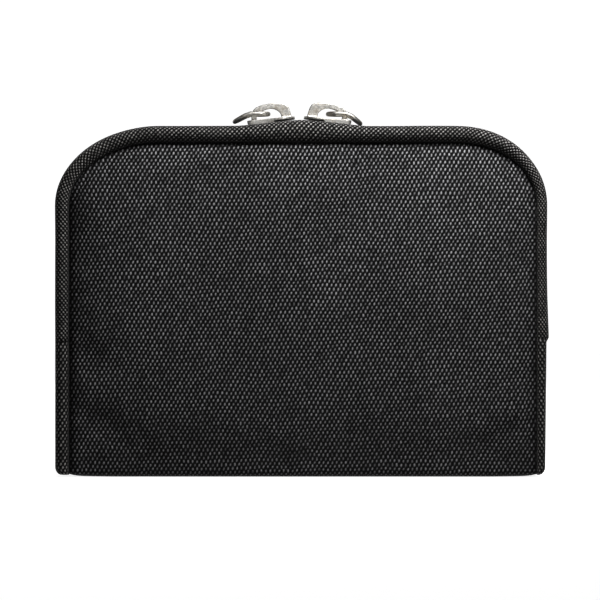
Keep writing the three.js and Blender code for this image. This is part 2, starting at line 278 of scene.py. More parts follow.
class Shader:
    """A node material with a few short ways to add and link nodes."""

    def __init__(self, name):
        self.material = bpy.data.materials.new(name)
        self.material.use_nodes = True
        self.tree = self.material.node_tree
        self.surface = self.tree.nodes["Principled BSDF"]

    def add(self, kind, values=None, **settings):
        made = self.tree.nodes.new(kind)
        for key, value in settings.items():
            setattr(made, key, value)
        for key, value in (values or {}).items():
            self.put(made.inputs[key], value)
        return made

    def put(self, socket, value):
        if isinstance(value, bpy.types.NodeSocket):
            self.tree.links.new(value, socket)
        else:
            socket.default_value = value

    def math(self, operation, *values):
        return self.add("ShaderNodeMath", dict(enumerate(values)), operation=operation).outputs[0]

    def total(self, *values):
        return reduce(lambda one, two: self.math("ADD", one, two), values)

    def product(self, *values):
        return reduce(lambda one, two: self.math("MULTIPLY", one, two), values)

    def vector(self, operation, value, **others):
        return self.add("ShaderNodeVectorMath", {0: value, **others}, operation=operation).outputs[0]

    def mapped(self, vector, across, along, turn=0.0):
        return self.add("ShaderNodeMapping", {
            "Vector": vector, "Rotation": (0, 0, turn), "Scale": (across, along, 1)}).outputs[0]

    def cloth(self, scale=1.0, turn=0.0):
        """Place on the flat cloth, in metres times scale."""
        return self.mapped(self.add("ShaderNodeUVMap", uv_map="cloth").outputs[0], scale, scale, turn)

    def place(self):
        """Place in the wallet, in metres."""
        return self.add("ShaderNodeTexCoord").outputs["Object"]

    def noise(self, vector, scale=1.0, detail=2.0):
        return self.add("ShaderNodeTexNoise", {
            "Vector": vector, "Scale": scale, "Detail": detail}).outputs["Fac"]

    def spread(self, value, low, high, to_low=0.0, to_high=1.0):
        return self.add("ShaderNodeMapRange", {
            0: value, 1: low, 2: high, 3: to_low, 4: to_high}, interpolation_type="SMOOTHSTEP").outputs[0]

    def mix(self, share, one, two):
        made = self.add("ShaderNodeMix", data_type="RGBA")
        for socket, value in ((made.inputs[0], share), (made.inputs[6], one), (made.inputs[7], two)):
            self.put(socket, value)
        return made.outputs[2]

    def bump(self, height, distance, strength):
        return self.add("ShaderNodeBump", {
            "Height": height, "Distance": distance * MM, "Strength": strength}).outputs[0]

    def finish(self, **sockets):
        for name, value in sockets.items():
            self.put(self.surface.inputs[name.replace("_", " ")], value)
        return self.material


def colour(red, green, blue, times=1.0):
    return (red * times, green * times, blue * times, 1)


def woven(name, tint, warp, weft, dark=0.12, light=11.0, turn=0.0, relief=0.16, roughness=0.75,
          sheen=0.02, worn=0.35, floor=0.15, lean=0.3, uneven=0.3):
    """Plain-weave cloth: warp yarns every warp mm and weft yarns every weft mm, each over and under in turn.
    Its colour is painted light over the real weave: light times the tint is a painted glint on the yarn
    crowns and dark times the tint is painted shade between them. floor is how much of a yarn stays dark, lean
    slants its painted glint, and uneven makes some glints brighter."""
    shader = Shader(name)
    cloth = shader.cloth(turn=turn)
    cells = shader.mapped(cloth, math.pi / (warp * MM), math.pi / (weft * MM))
    sway = shader.product(shader.math("SUBTRACT", shader.noise(shader.mapped(cloth, 500, 500)), 0.5), 1.6)
    wander = shader.product(shader.math("SUBTRACT", shader.noise(cloth, 55.0), 0.5), 6.0)
    parts = shader.add("ShaderNodeSeparateXYZ", {0: cells}).outputs
    across, along = shader.total(parts[0], sway), shader.total(parts[1], sway, wander)
    over = shader.product(shader.math("SINE", across), shader.math("SINE", along))
    twist = shader.math("COSINE", shader.math("SUBTRACT" if lean > 0 else "ADD", across, along))
    crown = shader.total(over, shader.product(twist, lean))
    cell = shader.vector("FLOOR", shader.vector("SCALE", cells, Scale=1 / math.pi))
    chance = shader.add("ShaderNodeTexWhiteNoise", {"Vector": cell}).outputs["Value"]
    slub = shader.total(shader.noise(shader.mapped(cloth, 1500, 260)),
                        shader.noise(shader.mapped(cloth, 260, 1500)))
    # painted shade: the yarns darken near the seams, where the grooves lie in shadow
    painted_groove_shade = shader.add("ShaderNodeAttribute", attribute_name="painted_groove_shade").outputs["Fac"]
    # painted glint on the yarn crowns, dimmed by the painted groove shade
    painted_glint = shader.product(
        shader.spread(crown, floor, 1.0 + abs(lean)), shader.spread(slub, 0.6, 1.4, 0.4, 1.5),
        shader.spread(chance, 0.0, 1.0, 1.0 - uneven, 1.0 + uneven), shader.spread(painted_groove_shade, 0.0, 1.0, 1.0, 0.12))
    # the colour runs from painted shade (dark times the tint) to painted glint (light times the tint)
    shade = shader.mix(painted_glint, colour(*tint, times=dark), colour(*tint, times=light))
    patches = shader.noise(shader.cloth(30), detail=3.0)
    wear = shader.spread(patches, 0.35, 0.75, 1.0 - worn / 2, 1.0 + worn / 2)
    return shader.finish(
        Base_Color=shader.vector("SCALE", shade, Scale=wear),
        Roughness=shader.spread(painted_glint, 0.0, 1.0, roughness + 0.15, roughness - 0.1),
        Sheen_Weight=sheen, Sheen_Roughness=0.4, Specular_IOR_Level=0.07,
        Normal=shader.bump(shader.total(over, shader.product(slub, 0.5)), relief, 0.8))


def ribbed(name, tint, pitch, chevron=0.0):
    """Narrow tape: ribs across its length, or a herringbone where chevron is set."""
    shader = Shader(name)
    parts = shader.add("ShaderNodeSeparateXYZ", {0: shader.cloth()}).outputs
    lean = shader.math("PINGPONG", parts[1], chevron * MM) if chevron else 0.0
    ribs = shader.math("SINE", shader.product(shader.total(parts[0], lean), 2 * math.pi / (pitch * MM)))
    grain = shader.noise(shader.cloth(900))
    share = shader.product(shader.spread(ribs, -1.0, 1.0), shader.spread(grain, 0.3, 0.7, 0.7, 1.2))
    return shader.finish(
        Base_Color=shader.mix(share, colour(*tint, times=0.55), colour(*tint, times=1.5)),
        Roughness=shader.spread(share, 0.0, 1.0, 0.9, 0.7),
        Sheen_Weight=0.2, Normal=shader.bump(ribs, 0.08, 0.7))


def cast_metal(name, tint):
    """Satin-plated casting: fine pitting and tarnished in patches, with a painted dark reflection along its
    sharp edges.
    """
    shader = Shader(name)
    fine = shader.noise(shader.place(), 2600.0, 3.0)
    cloudy = shader.noise(shader.place(), 520.0)
    edge = shader.add("ShaderNodeNewGeometry").outputs["Pointiness"]
    tone = shader.mix(shader.spread(fine, 0.3, 0.7), colour(*tint, times=0.75), colour(*tint, times=1.15))
    tone = shader.mix(shader.spread(cloudy, 0.45, 0.72, 0.0, 0.5), tone, colour(0.30, 0.25, 0.18))
    # painted reflection of the dark surroundings along the sharp edges
    tone = shader.mix(shader.spread(edge, 0.51, 0.56, 0.0, 0.8), tone, colour(0.08, 0.076, 0.07))
    return shader.finish(
        Base_Color=tone, Metallic=1.0, Roughness=shader.spread(fine, 0.3, 0.75, 0.34, 0.52),
        Normal=shader.bump(shader.total(fine, cloudy), 0.05, 0.35))


def moulded(name, tint, roughness, size=900.0):
    """Extruded nylon or thread: a slight sheen with a fine uneven surface."""
    shader = Shader(name)
    grain = shader.noise(shader.place(), size, 3.0)
    return shader.finish(
        Base_Color=shader.mix(grain, colour(*tint, times=0.6), colour(*tint, times=1.5)),
        Roughness=shader.spread(grain, 0.2, 0.8, roughness - 0.1, roughness + 0.12),
        Normal=shader.bump(grain, 0.02, 0.5))


def porous(name, tint, size, relief):
    """Foam or fibre board: cells or flakes of one size."""
    shader = Shader(name)
    cells = shader.add("ShaderNodeTexVoronoi", {"Vector": shader.place(), "Scale": size}).outputs["Distance"]
    return shader.finish(
        Base_Color=shader.mix(cells, colour(*tint, times=0.6), colour(*tint, times=1.2)),
        Roughness=0.95, Normal=shader.bump(cells, relief, 0.6))


WEAVE_TURN = math.radians(1.0)
outer_cloth = woven("outer_weave", (0.0200, 0.0196, 0.0204), 0.63, 1.07, turn=WEAVE_TURN, lean=-0.3)
band_cloth = woven("band_weave", (0.0200, 0.0192, 0.0186), 0.66, 0.9, turn=WEAVE_TURN)
strip_cloth = woven("strip_weave", (0.0200, 0.0192, 0.0186), 0.9, 0.66, turn=WEAVE_TURN)
# weaker painted glints and painted shade, for the lining and pocket cloths
EVEN = {"dark": 0.6, "light": 1.4, "sheen": 0.1, "floor": -0.9, "lean": 0.0, "uneven": 0.1}
lining_cloth = woven("lining_weave", (0.075, 0.080, 0.090), 0.34, 0.34, relief=0.05, roughness=0.6, worn=0.2,
                     **EVEN)
pocket_cloth = woven("pocket_weave", (0.058, 0.061, 0.068), 0.4, 0.4, relief=0.06, roughness=0.65, worn=0.25,
                     **EVEN)
binding_cloth = ribbed("binding_rib", (0.022, 0.022, 0.023), 0.7)
tape_cloth = ribbed("zip_tape_herringbone", (0.022, 0.022, 0.023), 0.8, chevron=1.6)
coil_nylon = moulded("coil_nylon", (0.02, 0.02, 0.021), 0.38)
thread = moulded("sewing_thread", (0.05, 0.05, 0.052), 0.6, size=3000.0)
nickel = cast_metal("cast_nickel", (0.47, 0.458, 0.43))
foam_stuff = porous("grey_foam", (0.2, 0.2, 0.21), 1500.0, 0.2)
board_stuff = porous("fibre_board", (0.42, 0.36, 0.28), 700.0, 0.05)


def dress(obj, material):
    obj.data.materials.clear()
    obj.data.materials.append(material)


def fit(obj, material, body, node=None):
    """Gives a piece its finish and its body, and hides the CAD node that it stands for."""
    dress(obj, material)
    if node:
        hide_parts(node)
    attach(obj, body)
    return obj


# ---- outline of the wallet ----

def hump(x):
    """The bands and the zip rise towards the middle of the top, where the sliders meet."""
    share = np.clip(1 - np.abs(x) / HUMP_REACH, 0, 1)
    return HUMP * (0.65 * share + 0.35 * ease(share))


def outline(low, step=1.1):
    """Points up the left side from height low, over the top and down the right side, with the inward
    direction at each. Returns rows of (x, z) and rows of the inward (x, z)."""
    def corner(x, reach, turns):
        return [(x + reach * math.cos(t), HEIGHT - CORNER_Z + CORNER_Z * math.sin(t)) for t in turns]

    straight = np.arange(low, HEIGHT - CORNER_Z, step)
    turns = np.linspace(math.pi, math.pi / 2, 34)
    left, right = CORNER_LEFT - HALF_WIDTH, HALF_WIDTH - CORNER_RIGHT
    points = np.array(
        [(-HALF_WIDTH, z) for z in straight] + corner(left, CORNER_LEFT, turns)
        + [(x, HEIGHT) for x in np.arange(left + step, right - step / 2, step)]
        + corner(right, CORNER_RIGHT, turns - math.pi / 2) + [(HALF_WIDTH, z) for z in straight[::-1]])
    ahead = np.gradient(points, axis=0)
    ahead /= np.linalg.norm(ahead, axis=1)[:, None]
    inward = np.stack([ahead[:, 1], -ahead[:, 0]], axis=1)
    return points, inward


def band_width(inward):
    """How wide the band shows, which changes from the left side to the top to the right side."""
    side = np.where(inward[:, 0] > 0, BAND_LEFT, BAND_RIGHT)
    share = inward[:, 1] ** 2
    return side * (1 - share) + BAND_TOP * share


def flat_rows(pairs):
    """Rows of (x, z) as rows of (x, 0, z)."""
    return np.stack([pairs[:, 0], np.zeros(len(pairs)), pairs[:, 1]], axis=1)


def lift(points):
    """Points of the outline raised by the hump, as rows of (x, 0, z)."""
    raised = points.copy()
    raised[:, 1] += hump(points[:, 0]) * (points[:, 1] > HEIGHT - 1)
    return flat_rows(raised)


def repeated(count, *direction):
    return np.repeat([direction], count, axis=0).astype(float)


def along_y(count, side):
    return repeated(count, 0, side, 0)


# ---- outer shell ----

SEAM_LEFT = -HALF_WIDTH + BAND_LEFT - 0.15
SEAM_RIGHT = HALF_WIDTH - BAND_RIGHT + 0.15
SEAM_TOP = HEIGHT - BAND_TOP + 0.15
TUCK = 2.8  # how deep the cover dives into its seam
COVER_Y = SEAM_Y + TUCK - 0.5  # the cover's face at its edges
COVER_CROWN = 0.7  # and how much further out it is in the middle
FOOT_TUCK, FOOT_HEIGHT = 1.6, 26.0  # the cover draws in towards the spine below this height
ROLL = 3.4  # radius of the folds at the spine
SPINE_ROWS = 26
COVER_ROWS = 64
CLOTH_THICK = 0.6
PAINTED_SHADE_REACH = 1.1  # painted shade darkens the yarns this near the seams, for the shadow in the grooves


BEND_LEFT = SEAM_LEFT + CORNER_LEFT - BAND_LEFT  # where the seam's top corners begin
BEND_RIGHT = SEAM_RIGHT - CORNER_RIGHT + BAND_RIGHT
REACH_LEFT, REACH_RIGHT, REACH_UP = CORNER_LEFT - BAND_LEFT, CORNER_RIGHT - BAND_RIGHT, CORNER_Z - BAND_TOP
FINE_SIDE, FINE_COLUMNS = 26.0, 22  # the columns close up over this distance from each side seam
COLUMN_STEP = 1.6


def seam_height(x):
    """Height of the seam above a point on the base."""
    past = max((BEND_LEFT - x) / REACH_LEFT, (x - BEND_RIGHT) / REACH_RIGHT, 0.0)
    return SEAM_TOP - REACH_UP * (1 - math.sqrt(max(0.0, 1 - past * past)))


def seam_distance(x, z):
    """Distance from a point of the cover to the nearest of its three seams."""
    up = (z - SEAM_TOP + REACH_UP) / REACH_UP
    if up > 0 and not BEND_LEFT <= x <= BEND_RIGHT:
        start, reach = (BEND_LEFT, REACH_LEFT) if x < BEND_LEFT else (BEND_RIGHT, REACH_RIGHT)
        past = abs(x - start) / reach
        return (1 - math.hypot(past, up)) * (reach * past + REACH_UP * up) / max(past + up, 1e-6)
    return min(x - SEAM_LEFT, SEAM_RIGHT - x, SEAM_TOP - z)


def column_places():
    """Columns of the cover's mesh, closer together towards the two sides."""
    turns = np.linspace(0, math.pi / 2, FINE_COLUMNS, endpoint=False)
    rise = FINE_SIDE * (1 - np.cos(turns))
    middle = np.arange(SEAM_LEFT + FINE_SIDE, SEAM_RIGHT - FINE_SIDE, COLUMN_STEP)
    return np.concatenate([SEAM_LEFT + rise, middle, (SEAM_RIGHT - rise)[::-1]])


def plump(distance):
    """0 at the seam, 1 where the padding has filled the cover out."""
    return (1 - math.exp(-(max(distance, 0) / 1.9) ** 1.3)) * 0.84 + 0.16 * ease(distance / 14)


def cover_point(x, t, side, top):
    """A point of one cover, t = 0 at the fold and 1 at the top seam."""
    spread = 1 - (1 - t) ** 1.6 if t > 0 else 0
    z = ROLL + (top - ROLL) * spread
    d = seam_distance(x, z)
    bulge = COVER_CROWN * math.sin(math.pi * min(1, (z + 6) / (HEIGHT + 6))) ** 0.8
    bulge *= ease((x - SEAM_LEFT) / 30) * ease((SEAM_RIGHT - x) / 30) * 0.7 + 0.3
    sway = 0.30 * rough(x, side * 40, z, 34, 3.1) + 0.14 * rough(x, side * 40, z, 13, 7.7)
    pucker = 0.10 * math.sin(2 * math.pi * (x + z) / 3.1) * math.exp(-max(d, 0) / 2.2)
    foot = FOOT_TUCK * max(0.0, 1 - z / FOOT_HEIGHT) ** 2 * ease(d / 6)
    out = COVER_Y + (bulge + sway) * ease(d / 8) + pucker - foot
    return x, side * (out - TUCK * (1 - plump(d))), z


def shell_profile(x):
    """The shell's section at x, from the top front seam under the spine to the top back seam."""
    top = seam_height(x)
    front = [cover_point(x, t, -1, top) for t in np.linspace(1, 0, COVER_ROWS)]
    back = [cover_point(x, t, 1, top) for t in np.linspace(0, 1, COVER_ROWS)]
    inset = TUCK * (1 - plump(min(x - SEAM_LEFT, SEAM_RIGHT - x)))
    start, end = -front[-1][1], back[0][1]
    flat = []
    for k in range(1, SPINE_ROWS):
        share = k / SPINE_ROWS
        turn = math.pi * share
        y = -(start * (1 - share) + end * share) * math.copysign(abs(math.cos(turn)) ** 0.42, math.cos(turn))
        z = ROLL * (1 - abs(math.sin(turn)) ** 0.42) + inset * math.sin(turn) * 0.25
        flat.append((x, y, z))
    return front + flat + back


def outer_shell():
    columns = column_places()
    points = np.array([shell_profile(x) for x in columns])
    folds = [lengths(row[COVER_ROWS - 1:1 - COVER_ROWS, 1:]) for row in points]
    reach = folds[len(columns) // 2][-1] / 2
    uvs = np.zeros(points.shape[:2] + (2,))
    for i, (x, fold) in enumerate(zip(columns, folds)):
        uvs[i, :, 0] = x
        uvs[i, :COVER_ROWS, 1] = ROLL - points[i, :COVER_ROWS, 2] - reach
        uvs[i, -COVER_ROWS:, 1] = points[i, -COVER_ROWS:, 2] - ROLL + reach
        uvs[i, COVER_ROWS - 1:1 - COVER_ROWS, 1] = (2 * fold / fold[-1] - 1) * reach
    return grid("outer_shell", points, uvs), points


def fill_out(obj, pinned, pressure, limit, frames=18):
    """Lets the padding press the cloth out by simulation, its seams held. No vertex moves past limit mm."""
    start = np.array([v.co for v in obj.data.vertices])
    group = obj.vertex_groups.new(name="seams")
    for index, weight in enumerate(pinned):
        if weight > 0:
            group.add([index], weight, "REPLACE")
    cloth = obj.modifiers.new("cloth", "CLOTH")
    for key, value in {
            "vertex_group_mass": "seams", "pin_stiffness": 2.0, "quality": 4, "mass": 0.25,
            "tension_stiffness": 22, "compression_stiffness": 22, "bending_stiffness": 0.6,
            "shrink_min": -0.012, "use_pressure": True, "uniform_pressure_force": pressure}.items():
        setattr(cloth.settings, key, value)
    cloth.settings.effector_weights.gravity = 0
    cloth.point_cache.frame_start = 1
    cloth.point_cache.frame_end = frames
    scene = bpy.context.scene
    for step in range(1, frames + 1):
        scene.frame_set(step)
    graph = bpy.context.evaluated_depsgraph_get()
    moved = np.array([v.co for v in obj.evaluated_get(graph).data.vertices]) - start
    obj.modifiers.clear()
    obj.vertex_groups.clear()
    scene.frame_set(1)
    far = np.linalg.norm(moved, axis=1)
    reach = limit * MM
    scale = reach * np.tanh(far / reach) / np.maximum(far, 1e-9)
    obj.data.vertices.foreach_set("co", (start + moved * scale[:, None]).ravel())
    obj.data.update()


shell, shell_points = outer_shell()
from_seam = np.array([seam_distance(x, z) for x, y, z in shell_points.reshape(-1, 3)])
held = 1 - np.minimum(ease((from_seam - 0.5) / 3.0), ease((shell_points[:, :, 2].ravel() - 2) / 7))
fill_out(shell, held.tolist(), pressure=2.0, limit=0.7)
# painted shade in the grooves along the cover's seams
mark(shell, "painted_groove_shade", np.exp(-(np.maximum(from_seam, 0) / PAINTED_SHADE_REACH) ** 2))
thicken(shell, CLOTH_THICK)
dress(shell, outer_cloth)
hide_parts("front_panel", "spine_panel", "back_panel")
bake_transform(shell)

# ---- edge bands and side strips ----

# Section of a band as (inset from the outline as a share of its width, distance from the middle plane).
BAND_SECTION = [
    (1.00, 9.7), (0.995, 10.5), (0.96, 11.25), (0.89, 11.9), (0.78, 12.45), (0.63, 12.85), (0.47, 13.0),
    (0.31, 12.8), (0.17, 12.2), (0.07, 11.3), (0.01, 10.2), (0.00, 8.9), (0.00, 7.6), (0.03, 6.6),
    (0.10, 5.95), (0.22, 5.65), (0.36, 5.8), (0.44, 6.3), (0.45, 7.0), (0.38, 7.6), (0.27, 8.0), (0.25, 9.0),
    (0.26, 10.2), (0.32, 11.0), (0.45, 11.6), (0.60, 11.5), (0.72, 10.8), (0.78, 9.9),
]

def fine_profile(pairs, count):
    """A smooth closed profile through the given pairs."""
    pairs = np.asarray(pairs, float)
    n = len(pairs)
    out = []
    for k in range(count):
        at = k * n / count
        i, t = int(at), at - int(at)
        a, b, c, d = (pairs[(i + s) % n] for s in (-1, 0, 1, 2))
        out.append(0.5 * (2 * b + (c - a) * t + (2 * a - 5 * b + 4 * c - d) * t ** 2
                          + (3 * b - a - 3 * c + d) * t ** 3))
    return np.array(out)


BAND_PROFILE = fine_profile(BAND_SECTION, 54)
# painted shade on the band's side that dives into the groove
BAND_PAINTED_SHADE = ease((BAND_PROFILE[:, 0] - 0.86) / 0.12)  # 1 where the band dives to its seam


def band_sections(widths, proud, bunch):
    """The band's section at each row: its width, how proud of the outline it stands, and its bunching."""
    widths, proud, bunch = (np.asarray(a)[:, None] for a in (widths, proud, bunch))
    inset, out = BAND_PROFILE.T
    return np.stack([inset * (widths + proud) - proud, out + bunch * ease((out - 9) / 4)], axis=2)


def edge_band(half, side):
    points, inward = outline(ZIP_END)
    widths = band_width(inward) + lift(points)[:, 2] - points[:, 1]
    count = len(points)
    along = lengths(points)
    proud = 0.10 * np.array([rough(s, side * 9, 0, 9, 1.3) for s in along])
    right_end = along[-1] - along
    proud += 0.55 * np.exp(-(right_end / 9.0) ** 2)
    tuck = np.sqrt(np.clip(1 - (1 - np.clip(right_end / 1.3, 0, 1)) ** 2, 0.16, 1))
    bunch = 0.14 * np.array([rough(s, side * 5, 3, 7, 5.2) for s in along]) - 1.2 * (1 - tuck)
    sections = band_sections(widths, proud - 1.0 * (1 - tuck), bunch)
    band = sweep(f"{half}_band", lift(points), flat_rows(inward), along_y(count, side), sections)
    # painted shade on the band where it dives to its seam
    mark(band, "painted_groove_shade", np.tile(BAND_PAINTED_SHADE, count))
    fit(band, band_cloth, f"{half}_half", f"{half}_edge_band")
    hem = lift(points) + flat_rows(inward) * 0.42 + along_y(count, side) * (HEM_Y + 0.35)
    facing = -flat_rows(inward) - along_y(count, side) * 0.8
    seam = stitch_row(f"{half}_band_stitches", hem, facing, radius=0.15)
    return [band, fit(seam, thread, f"{half}_half")]


STRIP_LAP = 0.8  # the strips run up under the ends of the bands
STRIP_LOW, STRIP_ROUND = 0.7, 2.4


def side_strip(half, side, hand_name, hand):
    """The strip from the end of the zip down to the spine, with its lower end rounded in."""
    width, slope = (BAND_LEFT, 0.0) if hand < 0 else (BAND_RIGHT, 0.4)
    turns = np.linspace(0, math.pi / 2, 12)
    heights = np.concatenate([np.arange(ZIP_END + STRIP_LAP, STRIP_ROUND + STRIP_LOW, -1.0),
                              STRIP_LOW + STRIP_ROUND * (1 - np.sin(turns))])
    count = len(heights)
    rise = np.clip((STRIP_LOW + STRIP_ROUND - heights) / STRIP_ROUND, 0, 1)
    corner = STRIP_ROUND * 0.75 * (1 - np.sqrt(1 - rise ** 2))
    inset = corner + slope * (1 - heights / ZIP_END).clip(0, 1)
    centres = np.stack([np.full(count, hand * HALF_WIDTH), np.zeros(count), heights], axis=1)
    inward = repeated(count, -hand, 0, 0)
    bunch = -0.2 - 0.5 * corner ** 2
    bunch += 0.12 * np.array([rough(z, side * 7, hand, 6, 2.2) for z in heights])
    sections = band_sections(np.full(count, width), -inset - (0.03 if hand < 0 else 0.15), bunch)
    strip = sweep(f"{half}_strip_{hand_name}", centres, inward, along_y(count, side), sections)
    # painted shade on the strip where it dives to its seam
    mark(strip, "painted_groove_shade", np.tile(BAND_PAINTED_SHADE, count))
    return fit(strip, strip_cloth, f"{half}_half", f"{half}_side_strip_{hand_name}")


hems = []
for half, side in SIDES:
    hems += edge_band(half, side)
    hems += [side_strip(half, side, hand_name, hand) for hand_name, hand in HANDS]

# ---- zip ----

TAPE_END = ZIP_END + 2.4
COIL_PITCH = 1.3
COIL_WIRE = 0.29
COIL_REACH = 1.45  # half the width of one coil
COIL_RISE = 0.5
COIL_LAP = 0.17  # how far each coil reaches past the middle, into the other
PARTED = 9.0  # the coils part round the sliders, this far from the middle


def parting(x, z):
    """How far each half of the zip stands away from the middle plane where the sliders hold it apart."""
    return 1.25 * ease(1 - np.abs(x) / PARTED) * (z > HEIGHT - 1)


def zip_half(half, side):
    points, inward = outline(TAPE_END)
    base, normal = lift(points), flat_rows(inward)
    along = lengths(base)
    count = len(points)
    part = parting(points[:, 0], points[:, 1])

    edges = [(0.30, 2.5), (0.55, 2.42), (2.0, 2.45), (5.0, 2.5), (7.4, 2.5), (9.2, 2.5),
             (9.2, 2.95), (7.4, 2.95), (5.0, 2.95), (2.0, 2.95), (0.55, 3.0), (0.30, 2.9)]
    rows = [[(y + apart * ease((6 - y) / 5), depth) for y, depth in edges] for apart in part]
    tape = sweep(f"{half}_tape", base, along_y(count, side), normal, rows)
    fit(tape, tape_cloth, f"{half}_half", f"{half}_zip_tape")

    turns = int((along[-1] - 1) / COIL_PITCH)
    steps = 14
    at = np.linspace(0.5, 0.5 + turns * COIL_PITCH, turns * steps)
    phase = 2 * math.pi * (at / COIL_PITCH + (0.5 if side > 0 else 0.0))
    depth = CHAIN_DEPTH - COIL_RISE * np.sin(phase)
    line = between(at, along, base) + between(at, along, normal) * depth[:, None]
    line[:, 1] += side * (COIL_REACH - COIL_LAP + np.interp(at, along, part) + COIL_REACH * np.cos(phase))
    coil = tube(f"{half}_coil", line, COIL_WIRE, count=7)
    fit(coil, coil_nylon, f"{half}_half", f"{half}_zip_coil")

    for row, place in enumerate((1.75, 2.35)):
        sewn = base + normal * (CHAIN_DEPTH - COIL_RISE - COIL_WIRE)
        sewn[:, 1] += side * (place + part)
        seam = stitch_row(f"{half}_coil_stitches_{row + 1}", sewn[2:-2], -normal[2:-2],
                          length=1.0, gap=0.3, radius=0.13)
        fit(seam, thread, f"{half}_half")


def zip_tab(half, hand_name, count=14):
    """A folded cloth tab over the end of a tape: a box with every edge rounded."""
    low, high = (np.array(corner) for corner in box_mm(f"{half}_zip_tab_{hand_name}"))
    middle, half_size = (low + high) / 2, (high - low) / 2
    points, uvs = [], []
    for up in math.pi * (np.arange(1, count) / count - 0.5):
        turns = math.pi * np.arange(2 * count) / count
        sphere = np.stack([math.cos(up) * np.cos(turns), math.cos(up) * np.sin(turns),
                           np.full(2 * count, math.sin(up))], axis=1)
        points.append(middle + half_size * np.sign(sphere) * np.abs(sphere) ** 0.35)
        around = np.append(turns / math.pi, 2) * (half_size[0] + half_size[1]) * 2
        uvs.append(np.stack([around, np.full(2 * count + 1, (up + 1.6) * half_size[2])], axis=1))
    tab = outward(grid(f"{half}_tab_{hand_name}", points, uvs, closed=True, caps=True))
    fit(tab, binding_cloth, f"{half}_half", f"{half}_zip_tab_{hand_name}")


for half, side in SIDES:
    zip_half(half, side)
    for hand_name, hand in HANDS:
        zip_tab(half, hand_name)

# ---- padding and boards ----

def arch_pad(name, inset, low, y0, y1):
    """A flat pad of the wallet's outline with soft edges, as rings that close towards the middle."""
    points, inward = outline(low, step=2.0)
    centre = np.array([0.0, (low + HEIGHT) / 2])
    rim = points + inward * inset
    rim = np.vstack([rim, np.stack([np.linspace(rim[-1, 0], rim[0, 0], 40)[1:-1],
                                    np.full(38, low)], axis=1)])
    middle, thick = (y0 + y1) / 2, (y1 - y0) / 2
    rows, uvs = [], []
    for share, turn in [(0.05, 90), (0.5, 90), (0.9, 88), (0.975, 60), (1.0, 25), (1.0, -25),
                        (0.975, -60), (0.9, -88), (0.5, -90), (0.05, -90)]:
        ring = centre + (rim - centre) * share
        y = middle + thick * math.sin(math.radians(turn))
        rows.append([(x, y, z) for x, z in ring])
        uvs.append(np.vstack([ring, ring[:1]]))
    return outward(grid(name, rows, uvs, closed=True, caps=True))


PAD_INSET, PAD_LOW = 7.5, 14.0
PAD_Y = (9.6, 11.1)

for half, side in SIDES:
    pad = arch_pad(f"{half}_pad", PAD_INSET, PAD_LOW, *sorted((side * PAD_Y[0], side * PAD_Y[1])))
    fit(pad, foam_stuff, f"{half}_half", f"{half}_foam")
    dress(frame["nodes"][f"{half}_board"], board_stuff)

# ---- lining, seam bindings and gussets ----

FINE_STITCH = {"length": 1.8, "gap": 0.8, "radius": 0.13}
LINING_INSET = 3.9


def inner_lining():
    """One lining down the front half, over the spine and up the back half."""
    columns = np.linspace(-HALF_WIDTH + LINING_INSET, HALF_WIDTH - LINING_INSET, 90)
    rows = 50
    floor = 1.3
    face = LINING_Y + 0.25
    points, uvs = [], []
    for x in columns:
        top = max(seam_height(max(min(x, SEAM_RIGHT - 0.2), SEAM_LEFT + 0.2)), 40.0)
        heights = floor + 3.0 + (top - floor - 3.0) * np.linspace(0, 1, rows)
        back = [(x, face + 0.10 * rough(x, 0, z, 17, 4.0), z) for z in heights]
        front = [(x, -y, z) for x, y, z in back[::-1]]
        base = []
        for turn in np.linspace(0, math.pi, 22)[1:-1]:
            lean = math.copysign(abs(math.cos(turn)) ** 0.55, math.cos(turn))
            base.append((x, -face * lean, floor + 3.0 * (1 - math.sin(turn) ** 0.55)))
        profile = front + base + back
        points.append(profile)
        along = lengths(np.array(profile)[:, 1:])
        uvs.append([(x, s - along[len(profile) // 2]) for s in along])
    lining = grid("inner_lining", points, uvs)
    thicken(lining, 0.35, 0.0)
    dress(lining, lining_cloth)
    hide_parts("front_lining", "spine_lining", "back_lining")
    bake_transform(lining)


def seam_binding(half, side):
    """Ribbed tape folded over the raw edges where tape, band and lining are sewn together."""
    points, inward = outline(ZIP_END + 0.3)
    count = len(points)
    section = fine_profile([(3.3, 6.6), (3.2, 7.0), (3.4, 7.35), (4.4, 7.5), (5.4, 7.45), (5.7, 7.2),
                            (5.65, 6.85), (5.2, 6.7), (4.4, 6.55), (3.7, 6.45)], 20)
    ripple = np.array([0.06 * rough(s, side * 3, 1, 5, 6.0) for s in lengths(points)])
    sections = np.repeat(section[None], count, axis=0)
    sections[:, :, 1] += ripple[:, None]
    binding = sweep(f"{half}_binding", flat_rows(points), flat_rows(inward), along_y(count, side), sections)
    fit(binding, binding_cloth, f"{half}_half", f"{half}_seam_binding")
    line = flat_rows(points) + flat_rows(inward) * 5.0 + along_y(count, side) * 6.62
    seam = stitch_row(f"{half}_binding_stitches", line, along_y(count, -side), **FINE_STITCH)
    fit(seam, thread, f"{half}_half")


